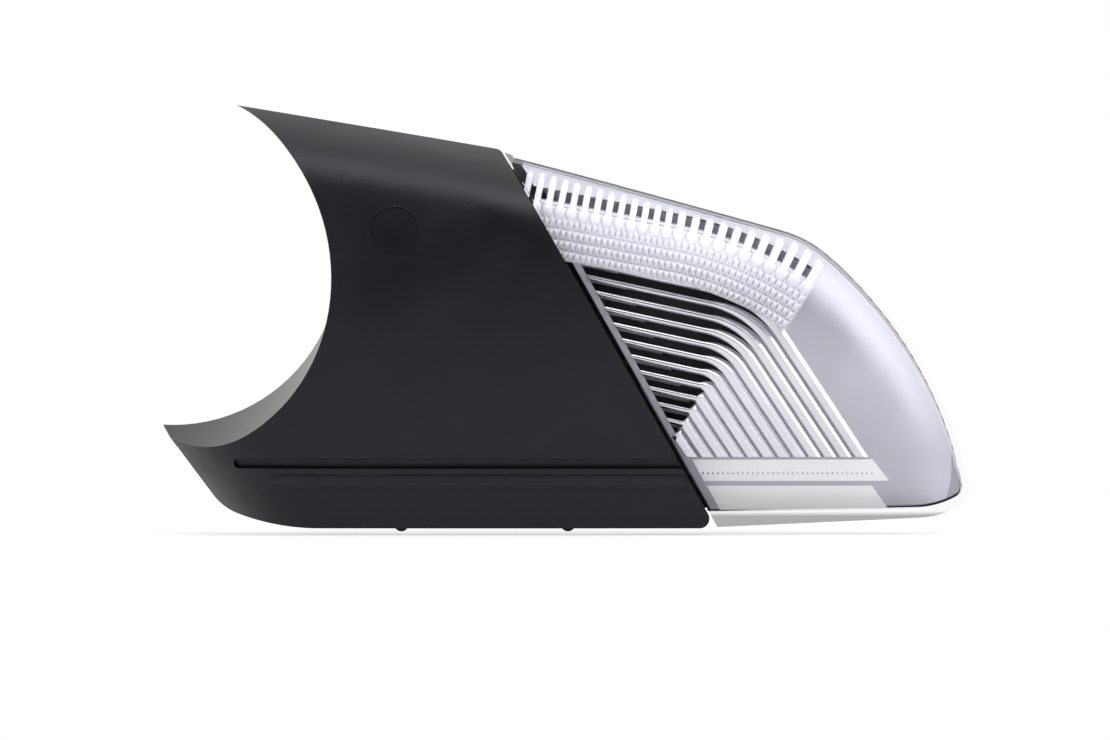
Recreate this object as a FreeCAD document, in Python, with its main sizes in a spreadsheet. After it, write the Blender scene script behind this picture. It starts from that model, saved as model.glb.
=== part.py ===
import FreeCAD, Part
import Sketcher
import math
import os

# Door-mirror indicator lamp: black carrier with a half-round pivot cut-out, clear lens on the right.
# Frame: +X towards the lens, +Z up, the face looks along -Y, the rear plane is Y = 0.
# The origin is midway between the two fixing bosses, on the rear plane. All sizes in mm, angles in degrees.

Vector = FreeCAD.Vector
doc = FreeCAD.newDocument("indicator_lamp")
sheet = doc.addObject("Spreadsheet::Sheet", "Sizes")

SIZES = (
    # crowned face and the rolled edges around it
    ("front_depth", 32.0),
    ("crown_high_radius", 122.0),
    ("crown_wide_radius", 1200.0),
    ("crown_mid_x", 20.0),
    ("crown_mid_z", 10.0),
    ("roll_width", 20.0),
    ("roll_top", 17.0),
    ("roll_left", 17.0),
    ("roll_right", 12.0),
    # carrier outline
    ("wall", 2.4),
    ("horn_x", -45.0),
    ("horn_z", 52.3),
    ("top_fall", 9.6),
    ("seam_top_x", 16.4),
    ("seam_lean", 29.6),
    ("seam_gap", 0.4),
    ("seam_corner_radius", 2.2),
    ("bottom_z", -45.7),
    ("bottom_curve_x", -25.5),
    ("bottom_curve_radius", 60.0),
    ("bottom_curve_turn", 19.0),
    ("left_corner_radius", 12.0),
    ("left_corner_turn", 35.0),
    ("left_length", 20.5),
    # pivot cut-out, a leaning cone
    ("pivot_x", -67.8),
    ("pivot_z", 11.5),
    ("pivot_front_radius", 45.5),
    ("pivot_rear_radius", 38.8),
    ("pivot_shift_x", 7.6),
    ("pivot_shift_z", 5.3),
    # groove, bead and skirt along the bottom
    ("groove_z", -30.7),
    ("groove_width", 2.2),
    ("groove_depth", 1.4),
    ("groove_start_x", -44.0),
    ("skirt_z", -36.2),
    ("skirt_step", 1.2),
    ("skirt_bend_x", -30.0),
    ("skirt_end_x", -55.0),
    ("skirt_end_z", -27.0),
    ("skirt_sag", 2.9),
    ("nib_radius", 1.7),
    ("nib_proud", 0.8),
    ("nib_left_x", -6.7),
    ("nib_right_x", 31.8),
    ("nib_length", 11.0),
    ("nib_set_back", 2.0),
    ("disc_mark_x", -7.8),
    ("disc_mark_z", 22.6),
    ("disc_mark_radius", 5.5),
    ("disc_mark_depth", 0.25),
    # inside of the carrier
    ("partition_reach", 16.0),
    ("partition_thick", 2.0),
    ("partition_drop", 3.0),
    ("fixing_spacing", 28.0),
    ("fixing_boss_radius", 4.4),
    ("fixing_hole_radius", 2.0),
    ("fixing_hole_depth", 14.0),
    ("cover_boss_radius", 3.6),
    ("cover_boss_gap", 5.0),
    ("cover_boss_high", 20.0),
    ("cover_boss_low", 70.0),
    ("rib_thick", 1.4),
    ("rib_top", 23.0),
    ("rib_high_z", 20.0),
    ("rib_low_z", -20.0),
    # lens
    ("lens_wall", 2.5),
    ("lens_drop", 0.6),
    ("lens_fall", 15.4),
    ("lens_top_length", 68.0),
    ("lens_corner_radius", 24.0),
    ("lens_corner_turn", 24.1),
    ("lens_side_radius", 101.9),
    ("lens_side_turn", 36.6),
    ("nose_radius", 4.6),
    ("nose_turn", 77.0),
    ("chin_radius", 24.0),
    ("chin_turn", 23.0),
    ("lens_bottom_z", -45.4),
    ("lens_lip_thick", 1.3),
    ("lens_lip_depth", 5.0),
    # rear cover and its joint
    ("cover_inset", 0.5),
    ("cover_floor", 2.0),
    ("ear_radius", 4.2),
    # reflector
    ("reflector_set_back", 10.5),
    ("reflector_thick", 2.0),
    ("reflector_margin", 0.5),
    ("reflector_start", 1.2),
    ("reflector_rim", 8.0),
    ("reflector_boss_radius", 2.8),
    ("near_boss_x", 58.0),
    ("near_boss_z", -35.0),
    ("far_boss_x", 104.0),
    ("far_boss_z", -32.0),
    ("high_boss_x", 84.0),
    ("high_boss_z", 6.0),
    ("slot_count", 11.0),
    ("slot_pitch", 3.11),
    ("slot_width", 1.75),
    ("slot_inset", 2.6),
    ("slot_top", 32.6),
    ("slot_fall", 12.0),
    ("slot_length", 30.6),
    ("slot_bend_radius", 24.0),
    ("slot_least_radius", 1.0),
    ("slot_steep_ratio", 0.946),
    ("slot_bend_turn", 44.0),
    ("slot_floor_z", -28.8),
    ("slot_relief", 0.7),
    ("slot_margin", 0.15),
    ("slot_taper_share", 0.9),
    ("window_width", 1.4),
    ("window_height", 2.6),
    ("window_lift", 0.3),
    # light guide
    ("guide_set_back", 6.8),
    ("guide_thick", 3.2),
    ("guide_band", 11.4),
    ("guide_fall", 11.0),
    ("guide_length", 27.0),
    ("guide_bend_radius", 75.0),
    ("guide_bend_turn", 23.0),
    ("guide_start_inset", 3.0),
    ("guide_start_drop", 27.6),
    ("pad_radius", 1.2),
    ("pad_count", 3.0),
    ("pad_first", 18.0),
    ("pad_pitch", 16.0),
    ("pad_lift", 3.0),
    ("tooth_count", 24.0),
    ("tooth_pitch", 2.77),
    ("tooth_width", 1.5),
    ("tooth_height", 9.0),
    ("tooth_root", 0.5),
    ("tooth_clear", 1.1),
    # circuit board and what sits on it
    ("board_front", 18.6),
    ("board_thick", 1.6),
    ("board_width", 10.0),
    ("board_length", 62.0),
    ("board_top", 12.0),
    ("board_inset", 3.4),
    ("board_post_radius", 2.4),
    ("board_post_high", 24.0),
    ("board_post_low", 61.0),
    ("board_post_inset", 10.4),
    ("led_length", 3.6),
    ("led_width", 2.8),
    ("led_height", 2.0),
    ("led_window_length", 2.5),
    ("led_window_height", 1.2),
    ("led_window_depth", 0.55),
    ("led_count", 4.0),
    ("led_first", 17.0),
    ("led_pitch", 17.0),
    ("chip_length", 2.0),
    ("chip_width", 1.25),
    ("chip_height", 0.6),
    ("chip_inset", 11.0),
    ("chip_count", 3.0),
    ("chip_pitch", 3.2),
    ("chip_first", 31.0),
    ("diode_length", 2.7),
    ("diode_width", 1.6),
    ("diode_height", 1.1),
    ("diode_chamfer", 0.2),
    ("diode_inset", 10.6),
    ("diode_down", 54.0),
    ("can_radius", 2.0),
    ("can_height", 4.2),
    ("can_chamfer", 0.3),
    ("can_inset", 9.4),
    ("can_down", 69.0),
    # socket and terminals
    ("socket_down", 43.0),
    ("socket_inset", 6.5),
    ("socket_width", 14.0),
    ("socket_height", 9.0),
    ("socket_wall", 1.4),
    ("socket_depth", 14.0),
    ("socket_key", 3.0),
    ("socket_key_clear", 0.4),
    ("blade_spacing", 5.0),
    ("blade_width", 1.5),
    ("blade_thick", 0.8),
    ("blade_out", 8.0),
    ("blade_solder", 0.8),
    ("blade_chamfer", 0.25),
    ("socket_seal_width", 1.3),
    ("socket_seal_thick", 1.6),
    # screws
    ("screw_radius", 1.3),
    ("screw_head_radius", 2.7),
    ("screw_head_height", 1.6),
    ("screw_reach", 7.0),
    ("screw_cross_width", 3.5),
    ("screw_cross_depth", 1.0),
    ("screw_slot", 0.7),
    ("small_screw_radius", 0.9),
    ("small_head_radius", 1.7),
    ("small_head_height", 1.0),
    ("small_screw_reach", 5.0),
    ("small_cross_width", 2.2),
    ("small_cross_depth", 0.6),
    ("screw_clearance", 0.25),
    # breather
    ("vent_x", 78.0),
    ("vent_z", -22.0),
    ("vent_outer_radius", 5.0),
    ("vent_inner_radius", 3.8),
    ("vent_height", 3.2),
    ("vent_hole_radius", 2.2),
    ("membrane_thick", 0.4),
    ("vent_cap_thick", 1.2),
    ("vent_cap_hole", 0.7),
    ("vent_hole_ring", 2.1),
    ("vent_hole_count", 4.0),
)

for row, (alias, value) in enumerate(SIZES, start=1):
    sheet.set("A%d" % row, alias)
    sheet.set("B%d" % row, str(value))
    sheet.setAlias("B%d" % row, alias)
doc.recompute()


def size(alias):
    return float(sheet.get(alias))


def count(alias):
    return int(size(alias))


def flat(x, z):
    return Vector(x, 0, z)


def heading(angle):
    return flat(math.cos(math.radians(angle)), math.sin(math.radians(angle)))


def meet(point, along, other, other_along):
    # where two straight lines of the XZ plane cross
    gap = other - point
    cross = along.x * other_along.z - along.z * other_along.x
    travel = (gap.x * other_along.z - gap.z * other_along.x) / cross
    return point + along * travel


def line(start, end):
    return Part.LineSegment(start, end).toShape()


def arc_from(start, angle, radius, turn):
    # arc leaving start at the given heading; a negative turn bends to the right
    side = math.copysign(1.0, turn)
    centre = start + heading(angle + 90 * side) * radius
    middle = centre + heading(angle - 90 * side + turn / 2) * radius
    end = centre + heading(angle - 90 * side + turn) * radius
    return Part.Arc(start, middle, end).toShape(), end, centre


def face_of(edges):
    return Part.Face(Part.Wire(Part.__sortEdges__(edges)))


def polygon(points):
    return face_of([line(points[i - 1], points[i]) for i in range(len(points))])


def disc(x, z, radius):
    circle = Part.Circle(flat(x, z), Vector(0, 1, 0), radius)
    return Part.Face(Part.Wire(circle.toShape()))


def rectangle(x, z, width, height):
    return polygon([flat(x - width / 2, z - height / 2), flat(x + width / 2, z - height / 2),
                    flat(x + width / 2, z + height / 2), flat(x - width / 2, z + height / 2)])


def inset(face, amount):
    return Part.Face(face.Faces[0].OuterWire).makeOffset2D(-amount, 2).Faces[0]


def prism(face, rear_from, rear_to):
    # a flat face carried along Y; both ends are Y values
    moved = face.copy()
    moved.translate(Vector(0, rear_from, 0))
    return moved.extrude(Vector(0, rear_to - rear_from, 0))


def joined(shapes):
    if len(shapes) == 1:
        return shapes[0]
    return shapes[0].fuse(shapes[1:]).removeSplitter()


def joined_faces(faces):
    # flat faces made into one by way of thin prisms, so that no inner lines are left
    slab = joined([prism(face, 0, 1) for face in faces])
    flats = [Part.Face(face.OuterWire) for face in slab.Faces if face.BoundBox.YMax < 0.01]
    if len(flats) == 1:
        return flats[0]
    return Part.makeCompound(flats)


# the joint between carrier and lens, and places measured from it

lean = size("seam_lean")
seam_down = heading(lean - 90)
seam_out = heading(lean)
top_along = heading(-size("top_fall"))
horn = flat(size("horn_x"), size("horn_z"))
seam_top = meet(horn, top_along, flat(size("seam_top_x"), 0), flat(0, 1))
lens_along = heading(-size("lens_fall"))
lens_top = seam_top - flat(0, size("lens_drop"))
bottom = flat(0, size("bottom_z"))
level = flat(1, 0)
BEYOND = 60.0
OVERRUN = 1.0


def at_seam(down, out):
    return seam_top + seam_down * down + seam_out * out


def rounded_corner(before, corner, after, radius):
    # straight edge, arc and straight edge around one corner
    to_before = (before - corner).normalize()
    to_after = (after - corner).normalize()
    half = to_before.getAngle(to_after) / 2
    first = corner + to_before * (radius / math.tan(half))
    last = corner + to_after * (radius / math.tan(half))
    bisector = (to_before + to_after).normalize()
    middle = corner + bisector * (radius / math.sin(half) - radius)
    return first, Part.Arc(first, middle, last).toShape(), last


def left_edge():
    # from the end of the straight bottom, round the corner, up to the lower tip
    start = flat(size("bottom_curve_x"), size("bottom_z"))
    turn = size("bottom_curve_turn")
    sweep, bend_start, centre = arc_from(start, 180, size("bottom_curve_radius"), -turn)
    angle = 180 - turn
    turn = size("left_corner_turn")
    bend, rise_start, centre = arc_from(bend_start, angle, size("left_corner_radius"), -turn)
    angle -= turn
    tip = rise_start + heading(angle) * size("left_length")
    return [sweep, bend, line(rise_start, tip)], start, tip, heading(angle)


left_edges, bottom_end, lower_tip, left_along = left_edge()


def carrier_face(out):
    # outline of the carrier with its joint edge moved outwards
    high = meet(horn, top_along, at_seam(0, out), seam_down)
    low = meet(bottom, level, at_seam(0, out), seam_down)
    radius = size("seam_corner_radius")
    high_first, high_arc, high_last = rounded_corner(horn, high, low, radius)
    low_first, low_arc, low_last = rounded_corner(high, low, bottom_end, radius)
    edges = [line(horn, high_first), high_arc, line(high_last, low_first), low_arc]
    return face_of(edges + [line(low_last, bottom_end)] + left_edges + [line(lower_tip, horn)])


def lens_edge():
    # the free edge of the lens from the top straight to the chin
    start = lens_top + lens_along * size("lens_top_length")
    angle = -size("lens_fall")
    turn = size("lens_corner_turn")
    corner, corner_end, centre = arc_from(start, angle, size("lens_corner_radius"), -turn)
    angle -= turn
    turn = size("lens_side_turn")
    side, side_end, side_centre = arc_from(corner_end, angle, size("lens_side_radius"), -turn)
    angle -= turn
    turn = size("nose_turn")
    nose, nose_end, centre = arc_from(side_end, angle, size("nose_radius"), -turn)
    angle -= turn
    chin, chin_end, centre = arc_from(nose_end, angle, size("chin_radius"), -size("chin_turn"))
    return [corner, side, nose, chin], start, chin_end, side_centre


free_edges, lens_top_end, chin_end, side_centre = lens_edge()


def lens_face(out):
    # outline of the lens with its joint edge moved outwards
    high = meet(lens_top, lens_along, at_seam(0, out), seam_down)
    low = meet(flat(0, size("lens_bottom_z")), level, at_seam(0, out), seam_down)
    return face_of([line(high, lens_top_end)] + free_edges + [line(chin_end, low), line(low, high)])


# the crowned outer surface

def edge_roll(amount, distance):
    return amount * max(1 - distance / size("roll_width"), 0.0) ** 3


def top_line(x):
    # the two top edges run into each other in a soft bend
    carrier_z = horn.z + (x - horn.x) * top_along.z / top_along.x
    lens_z = lens_top.z + (x - lens_top.x) * lens_along.z / lens_along.x
    return -math.log(math.exp(-carrier_z) + math.exp(-lens_z))


def inside_side(x, z):
    # distance in from the lens's side arc; past the arc's ends, from the tangent there
    away = flat(x, z) - side_centre
    first = 90 - size("lens_fall") - size("lens_corner_turn")
    last = first - size("lens_side_turn")
    angle = math.degrees(math.atan2(away.z, away.x))
    nearest = heading(min(max(angle, last), first))
    return size("lens_side_radius") - away.dot(nearest)


def skin_y(x, z):
    crown = (z - size("crown_mid_z")) ** 2 / (2 * size("crown_high_radius"))
    crown += (x - size("crown_mid_x")) ** 2 / (2 * size("crown_wide_radius"))
    top = edge_roll(size("roll_top"), top_line(x) - z)
    from_tip = flat(x, z) - lower_tip
    left = edge_roll(size("roll_left"), from_tip.x * left_along.z - from_tip.z * left_along.x)
    right = edge_roll(size("roll_right"), inside_side(x, z))
    return crown + (top ** 3 + left ** 3 + right ** 3) ** (1.0 / 3) - size("front_depth")


SKIN_STEP = 5.0
SKIN_MARGIN = 12.0
CUT_MARGIN = 5.0
NUDGE = 0.05


def behind_skin(depth):
    # everything behind the outer surface set in by depth, as one solid
    box = carrier_face(0).BoundBox
    box.add(lens_face(0).BoundBox)
    box.enlarge(SKIN_MARGIN)
    columns = int(box.XLength / SKIN_STEP)
    rows = int(box.ZLength / SKIN_STEP)
    step_x = box.XLength / columns
    step_z = box.ZLength / rows
    grid = []
    for i in range(columns + 1):
        x = box.XMin + step_x * i
        heights = []
        for j in range(rows + 1):
            z = box.ZMin + step_z * j
            slope_x = (skin_y(x + NUDGE, z) - skin_y(x - NUDGE, z)) / (2 * NUDGE)
            slope_z = (skin_y(x, z + NUDGE) - skin_y(x, z - NUDGE)) / (2 * NUDGE)
            thickness = depth * math.sqrt(1 + slope_x ** 2 + slope_z ** 2)
            heights.append(-skin_y(x, z) - thickness)
        grid.append(heights)
    surface = Part.BSplineSurface()
    surface.interpolate(grid, box.XMin, step_x, box.ZMin, step_z)
    skin = surface.toShape()
    skin.rotate(Vector(0, 0, 0), Vector(1, 0, 0), 90)
    return skin.extrude(Vector(0, 3 * BEYOND, 0))


outer_skin = behind_skin(0)
carrier_inner_skin = behind_skin(size("wall"))
lens_inner_skin = behind_skin(size("lens_wall"))


def set_back(amount):
    moved = outer_skin.copy()
    moved.translate(Vector(0, amount, 0))
    return moved


PAST_FACES = 0.3


def pivot_cone(extra):
    # the leaning cone of the cut-out, carried past both faces
    rings = []
    for part in (-PAST_FACES, 1 + PAST_FACES):
        x = size("pivot_x") + size("pivot_shift_x") * part
        z = size("pivot_z") + size("pivot_shift_z") * part
        radius = size("pivot_front_radius") * (1 - part) + size("pivot_rear_radius") * part + extra
        y = size("front_depth") * (part - 1)
        circle = Part.Circle(Vector(x, y, z), Vector(0, 1, 0), radius)
        rings.append(Part.Wire(circle.toShape()))
    return Part.makeLoft(rings, True, True)


def channel_face(right):
    # the groove, with a round end at the left
    half = size("groove_width") / 2
    mid = size("groove_z")
    start = size("groove_start_x")
    nose = Part.Arc(flat(start, mid - half), flat(start - half, mid), flat(start, mid + half))
    return face_of([nose.toShape(), line(flat(start, mid + half), flat(right, mid + half)),
                    line(flat(right, mid + half), flat(right, mid - half)),
                    line(flat(right, mid - half), flat(start, mid - half))])


def skirt_face(right):
    # the recessed skirt, with an edge that bends up to the left corner
    bend = flat(size("skirt_bend_x"), size("skirt_z"))
    end = flat(size("skirt_end_x"), size("skirt_end_z"))
    along = (end - bend).normalize()
    middle = (bend + end) * 0.5 + flat(-along.z, along.x) * size("skirt_sag")
    left = lower_tip.x - CUT_MARGIN
    low = size("bottom_z") - CUT_MARGIN
    corners = [end, flat(left, end.z), flat(left, low), flat(right, low), flat(right, bend.z), bend]
    edges = [line(corners[i], corners[i + 1]) for i in range(5)]
    return face_of(edges + [Part.Arc(bend, middle, end).toShape()])


def skin_cutters():
    # groove, skirt and round mark, each cut to its own depth under the crown
    right = side_centre.x + size("lens_side_radius") + CUT_MARGIN
    mark = disc(size("disc_mark_x"), size("disc_mark_z"), size("disc_mark_radius"))
    cuts = []
    for face, depth in ((channel_face(right), "groove_depth"), (skirt_face(right), "skirt_step"),
                        (mark, "disc_mark_depth")):
        cuts.append(prism(face, -BEYOND, BEYOND).cut(set_back(size(depth))))
    return cuts


skin_cuts = skin_cutters()
seam_half = size("seam_gap") / 2
fixing_x = size("fixing_spacing") / 2
cover_face_y = -size("cover_inset") - size("cover_floor")
cover_boss_out = -size("partition_reach") - size("partition_thick") - size("cover_boss_gap")
cover_boss_places = [at_seam(size("cover_boss_high"), cover_boss_out),
                     at_seam(size("cover_boss_low"), cover_boss_out)]


def strip(out_from, out_to):
    # endless band parallel to the joint
    return polygon([at_seam(-BEYOND, out_from), at_seam(-BEYOND, out_to),
                    at_seam(3 * BEYOND, out_to), at_seam(3 * BEYOND, out_from)])


def rib_grid():
    # crossing stiffening ribs under the face, left of the partition
    half = size("rib_thick") / 2
    side = 3 * BEYOND
    ribs = []
    for z in (size("rib_low_z"), 0, size("rib_high_z")):
        ribs.append(rectangle(0, z, side, 2 * half))
    for x in (-fixing_x, fixing_x):
        ribs.append(rectangle(x, 0, 2 * half, side))
    grid = joined([prism(rib, -BEYOND, BEYOND) for rib in ribs])
    return grid.cut(prism(strip(-size("partition_reach"), 2 * BEYOND), -BEYOND, BEYOND))


def carrier_space(fixing):
    # the hollow behind the face, less what stands up in it
    hollow = inset(carrier_face(2 * size("wall")), size("wall"))
    posts = joined_faces([disc(p.x, p.z, size("cover_boss_radius")) for p in cover_boss_places])
    reach = size("partition_reach")
    partition = strip(-reach - size("partition_thick"), -reach)
    free = hollow.cut([fixing, posts, partition])
    deep = prism(free, -BEYOND, BEYOND).cut(rib_grid())
    above_ribs = prism(free, -size("rib_top"), BEYOND)
    above_posts = prism(hollow.cut(fixing), cover_face_y, BEYOND)
    above_partition = prism(hollow.cut([fixing, posts]), -size("partition_drop"), BEYOND)
    space = deep.fuse([above_ribs, above_posts, above_partition])
    return space.common(carrier_inner_skin).cut(pivot_cone(size("wall")))


def carrier():
    block = prism(carrier_face(-seam_half), -BEYOND, 0).common(outer_skin)
    fixing = joined_faces([disc(x, 0, size("fixing_boss_radius")) for x in (-fixing_x, fixing_x)])
    shell = block.cut([carrier_space(fixing), pivot_cone(0)] + skin_cuts)
    holes = [prism(disc(x, 0, size("fixing_hole_radius")), -size("fixing_hole_depth"), BEYOND)
             for x in (-fixing_x, fixing_x)]
    screw_end = -size("cover_inset") - size("screw_reach")
    holes += [prism(disc(p.x, p.z, size("screw_radius")), screw_end, BEYOND) for p in cover_boss_places]
    nib_z = size("bottom_z") + size("nib_radius") - size("nib_proud")
    nib_back = -size("nib_set_back")
    nibs = [prism(disc(x, nib_z, size("nib_radius")), nib_back - size("nib_length"), nib_back)
            for x in (size("nib_left_x"), size("nib_right_x"))]
    return shell.cut(holes).fuse(nibs).removeSplitter()


def lens():
    block = prism(lens_face(seam_half), -BEYOND, -size("cover_inset")).common(outer_skin)
    open_side = inset(lens_face(-BEYOND), size("lens_wall"))
    behind_lip = open_side.common(strip(seam_half + size("lens_lip_thick"), 3 * BEYOND))
    lip_back = prism(open_side, size("lens_lip_depth") - size("front_depth"), BEYOND)
    space = lip_back.fuse(prism(behind_lip, -BEYOND, BEYOND)).common(lens_inner_skin)
    return block.cut([space] + skin_cuts[:2]).removeSplitter()


# the lamp chamber: under the carrier's edge up to the partition, and inside the lens

def chamber_face(clear):
    under = inset(carrier_face(BEYOND), size("wall") + clear)
    under = under.common(strip(-size("partition_reach") + clear, 0))
    inside = inset(lens_face(-BEYOND), size("lens_wall") + clear).common(strip(0, 3 * BEYOND))
    return joined_faces([under, inside])


socket_mid = at_seam(size("socket_down"), -size("socket_inset"))
blade_places = [socket_mid.x - size("blade_spacing") / 2, socket_mid.x + size("blade_spacing") / 2]
board_posts = [at_seam(size("board_post_high"), -size("board_post_inset")),
               at_seam(size("board_post_low"), -size("board_post_inset"))]
reflector_bosses = [flat(size("near_boss_x"), size("near_boss_z")),
                    flat(size("far_boss_x"), size("far_boss_z")),
                    flat(size("high_boss_x"), size("high_boss_z"))]


def cover_ears(front, back):
    # lugs that carry the cover over to its two screws
    ears = []
    for place in cover_boss_places:
        root = place + seam_out * (size("cover_boss_gap") + size("partition_thick") + size("ear_radius"))
        side = seam_down * size("ear_radius")
        arm = polygon([place - side, root - side, root + side, place + side])
        ears.append(prism(joined_faces([disc(place.x, place.z, size("ear_radius")), arm]), front, back))
    return ears


def socket_shroud(back):
    # oblong collar round the terminals, with a key slot in its upper wall
    wide = size("socket_width")
    high = size("socket_height")
    wall = size("socket_wall")
    around = rectangle(socket_mid.x, socket_mid.z, wide, high)
    within = rectangle(socket_mid.x, socket_mid.z, wide - 2 * wall, high - 2 * wall)
    key_height = 2 * (wall + size("socket_key_clear"))
    key = rectangle(socket_mid.x, socket_mid.z + high / 2, size("socket_key"), key_height)
    return prism(around.cut([within, key]), back, back + size("socket_depth"))


def vent_disc(radius):
    return disc(size("vent_x"), size("vent_z"), size(radius))


def rear_cover():
    back = -size("cover_inset")
    front = cover_face_y
    plate = prism(chamber_face(size("seam_gap")), front, back)
    board_back = size("board_thick") - size("board_front")
    posts = [prism(disc(p.x, p.z, size("board_post_radius")), board_back, front) for p in board_posts]
    spigot = vent_disc("vent_outer_radius").cut(vent_disc("vent_inner_radius"))
    spigot = prism(spigot, back, back + size("vent_height"))
    body = joined([plate, socket_shroud(back), spigot] + cover_ears(front, back) + posts)
    loose = size("screw_radius") + size("screw_clearance")
    screw_places = cover_boss_places + reflector_bosses
    cuts = [prism(disc(p.x, p.z, loose), -BEYOND, BEYOND) for p in screw_places]
    tapped_from = board_back - OVERRUN
    tapped_to = board_back - size("board_thick") + size("small_screw_reach")
    cuts += [prism(disc(p.x, p.z, size("small_screw_radius")), tapped_from, tapped_to) for p in board_posts]
    cuts += [prism(rectangle(x, socket_mid.z, size("blade_width"), size("blade_thick")), -BEYOND, BEYOND)
             for x in blade_places]
    cuts.append(prism(vent_disc("vent_hole_radius"), -BEYOND, BEYOND))
    return body.cut(cuts).removeSplitter()


def lens_seal():
    ring = chamber_face(0).cut(chamber_face(size("seam_gap")))
    ring = ring.common(strip(size("seam_gap"), 3 * BEYOND))
    return prism(ring, cover_face_y, -size("cover_inset"))


# light guide and reflector

def guide_path(lift):
    # lower edge of the light guide, or a line parallel to it
    fall = -size("guide_fall")
    start = at_seam(size("guide_start_drop"), -size("guide_start_inset"))
    bend_start = start + heading(fall) * size("guide_length")
    radius = size("guide_bend_radius") + lift
    return start + heading(fall + 90) * lift, bend_start + heading(fall + 90) * lift, fall, radius


def guide_place(travel, lift):
    # point and heading at a distance along the guide's lower edge
    start, bend_start, fall, radius = guide_path(lift)
    if travel <= size("guide_length"):
        return start + heading(fall) * travel, fall
    turn = math.degrees((travel - size("guide_length")) / size("guide_bend_radius"))
    centre = bend_start + heading(fall - 90) * radius
    return centre + heading(fall + 90 - turn) * radius, fall - turn


guide_end = size("guide_length") + size("guide_bend_radius") * math.radians(size("guide_bend_turn"))
tooth_start = guide_end - (size("tooth_count") - 0.5) * size("tooth_pitch")


def guide_block(travel, width, low, high):
    # upright bar across the guide, centred on a distance along it
    middle, angle = guide_place(travel, 0)
    along = heading(angle) * (width / 2)
    up = heading(angle + 90)
    return polygon([middle - along + up * low, middle + along + up * low,
                    middle + along + up * high, middle - along + up * high])


def tooth_travel(index):
    return tooth_start + index * size("tooth_pitch")


def guide_face():
    band = size("guide_band")
    low_start, low_bend, fall, low_radius = guide_path(0)
    high_start, high_bend, fall, high_radius = guide_path(band)
    low_arc, low_end, centre = arc_from(low_bend, fall, low_radius, -size("guide_bend_turn"))
    high_arc, high_end, centre = arc_from(high_bend, fall, high_radius, -size("guide_bend_turn"))
    start_top = meet(high_start, heading(fall), low_start, seam_down)
    outline = face_of([line(low_start, low_bend), low_arc, line(low_end, high_end), high_arc,
                       line(high_bend, start_top), line(start_top, low_start)])
    root = band - size("tooth_root")
    teeth = [guide_block(tooth_travel(i), size("tooth_width"), root, band + size("tooth_height"))
             for i in range(count("tooth_count"))]
    room = chamber_face(size("seam_gap") + size("tooth_clear"))
    return joined_faces([outline] + [tooth.common(room) for tooth in teeth])


def light_guide():
    front = size("guide_set_back")
    solid = prism(guide_face(), -BEYOND, 0).common(set_back(front))
    return solid.cut(set_back(front + size("guide_thick")))


def slot_path(lift):
    # one reflector line: straight, bend, then steep down to the foot of the ribs
    fall = -size("slot_fall")
    turn = size("slot_bend_turn")
    half_turn = math.tan(math.radians(turn / 2))
    origin = at_seam(size("slot_top"), size("slot_inset"))
    reach = size("slot_length") + size("slot_bend_radius") * half_turn
    steep_lift = lift * size("slot_steep_ratio")
    steep_point = origin + heading(fall) * reach + heading(fall - turn - 90) * steep_lift
    corner = meet(origin + heading(fall - 90) * lift, heading(fall), steep_point, heading(fall - turn))
    radius = max(size("slot_bend_radius") - lift, size("slot_least_radius"))
    bend_start = corner - heading(fall) * (radius * half_turn)
    bend, bend_end, centre = arc_from(bend_start, fall, radius, -turn)
    start = meet(corner, heading(fall), origin, seam_down)
    foot = meet(corner, heading(fall - turn), flat(0, size("slot_floor_z")), level)
    return start, bend_start, bend, bend_end, corner, foot


def along_bend(bend, share):
    first, last = bend.ParameterRange
    return bend.valueAt(first + (last - first) * share)


def slot_faces(index):
    # tapered open slot up to the bend, and the shallow relief that goes on from it
    near = index * size("slot_pitch")
    far = near + size("slot_width")
    start, bend_start, bend, bend_end, corner, foot = slot_path(near)
    low_start, low_bend_start, low_bend, low_bend_end, low_corner, low_foot = slot_path(far)
    if (low_bend_start - low_start).dot(heading(-size("slot_fall"))) < size("slot_margin"):
        return polygon([start, corner, low_start]), polygon([corner, foot, low_foot, low_start])
    taper_end = along_bend(bend, size("slot_taper_share"))
    outer = Part.Arc(bend_start, along_bend(bend, size("slot_taper_share") / 2), taper_end)
    middle_bend = slot_path((near + far) / 2)[2]
    inner = Part.Arc(taper_end, along_bend(middle_bend, size("slot_taper_share") / 2), low_bend_start)
    open_slot = face_of([line(start, bend_start), outer.toShape(), inner.toShape(),
                         line(low_bend_start, low_start), line(low_start, start)])
    start, bend_start, bend, bend_end, corner, foot = slot_path(near + size("slot_margin"))
    relief = face_of([line(bend_start, low_bend_start), bend, line(bend_end, foot), line(foot, low_foot),
                      line(low_foot, low_bend_end), low_bend])
    return open_slot, relief


def guide_pads(behind, seat):
    # short pillars that the light guide rests on
    pads = []
    for index in range(count("pad_count")):
        place, angle = guide_place(size("pad_first") + index * size("pad_pitch"), size("pad_lift"))
        pads.append(prism(disc(place.x, place.z, size("pad_radius")), -BEYOND, seat))
    reach = set_back(size("guide_set_back") + size("guide_thick"))
    return joined(pads).common(reach).cut(behind)


def slot_cutters(seat):
    # the open slots, then the shallow reliefs that go on from them
    slots = []
    reliefs = []
    deep = set_back(size("reflector_set_back") + size("slot_relief"))
    for index in range(count("slot_count")):
        open_slot, relief = slot_faces(index)
        slots.append(prism(open_slot, -BEYOND, seat))
        reliefs.append(prism(relief, -BEYOND, seat).cut(deep))
    return slots + reliefs


def window_cutters(seat):
    # small openings between the roots of the guide's teeth
    low = size("guide_band") + size("window_lift")
    high = low + size("window_height")
    windows = []
    for index in range(count("tooth_count") - 1):
        window = guide_block(tooth_travel(index + 0.5), size("window_width"), low, high)
        windows.append(prism(window, -BEYOND, seat))
    return windows


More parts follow.
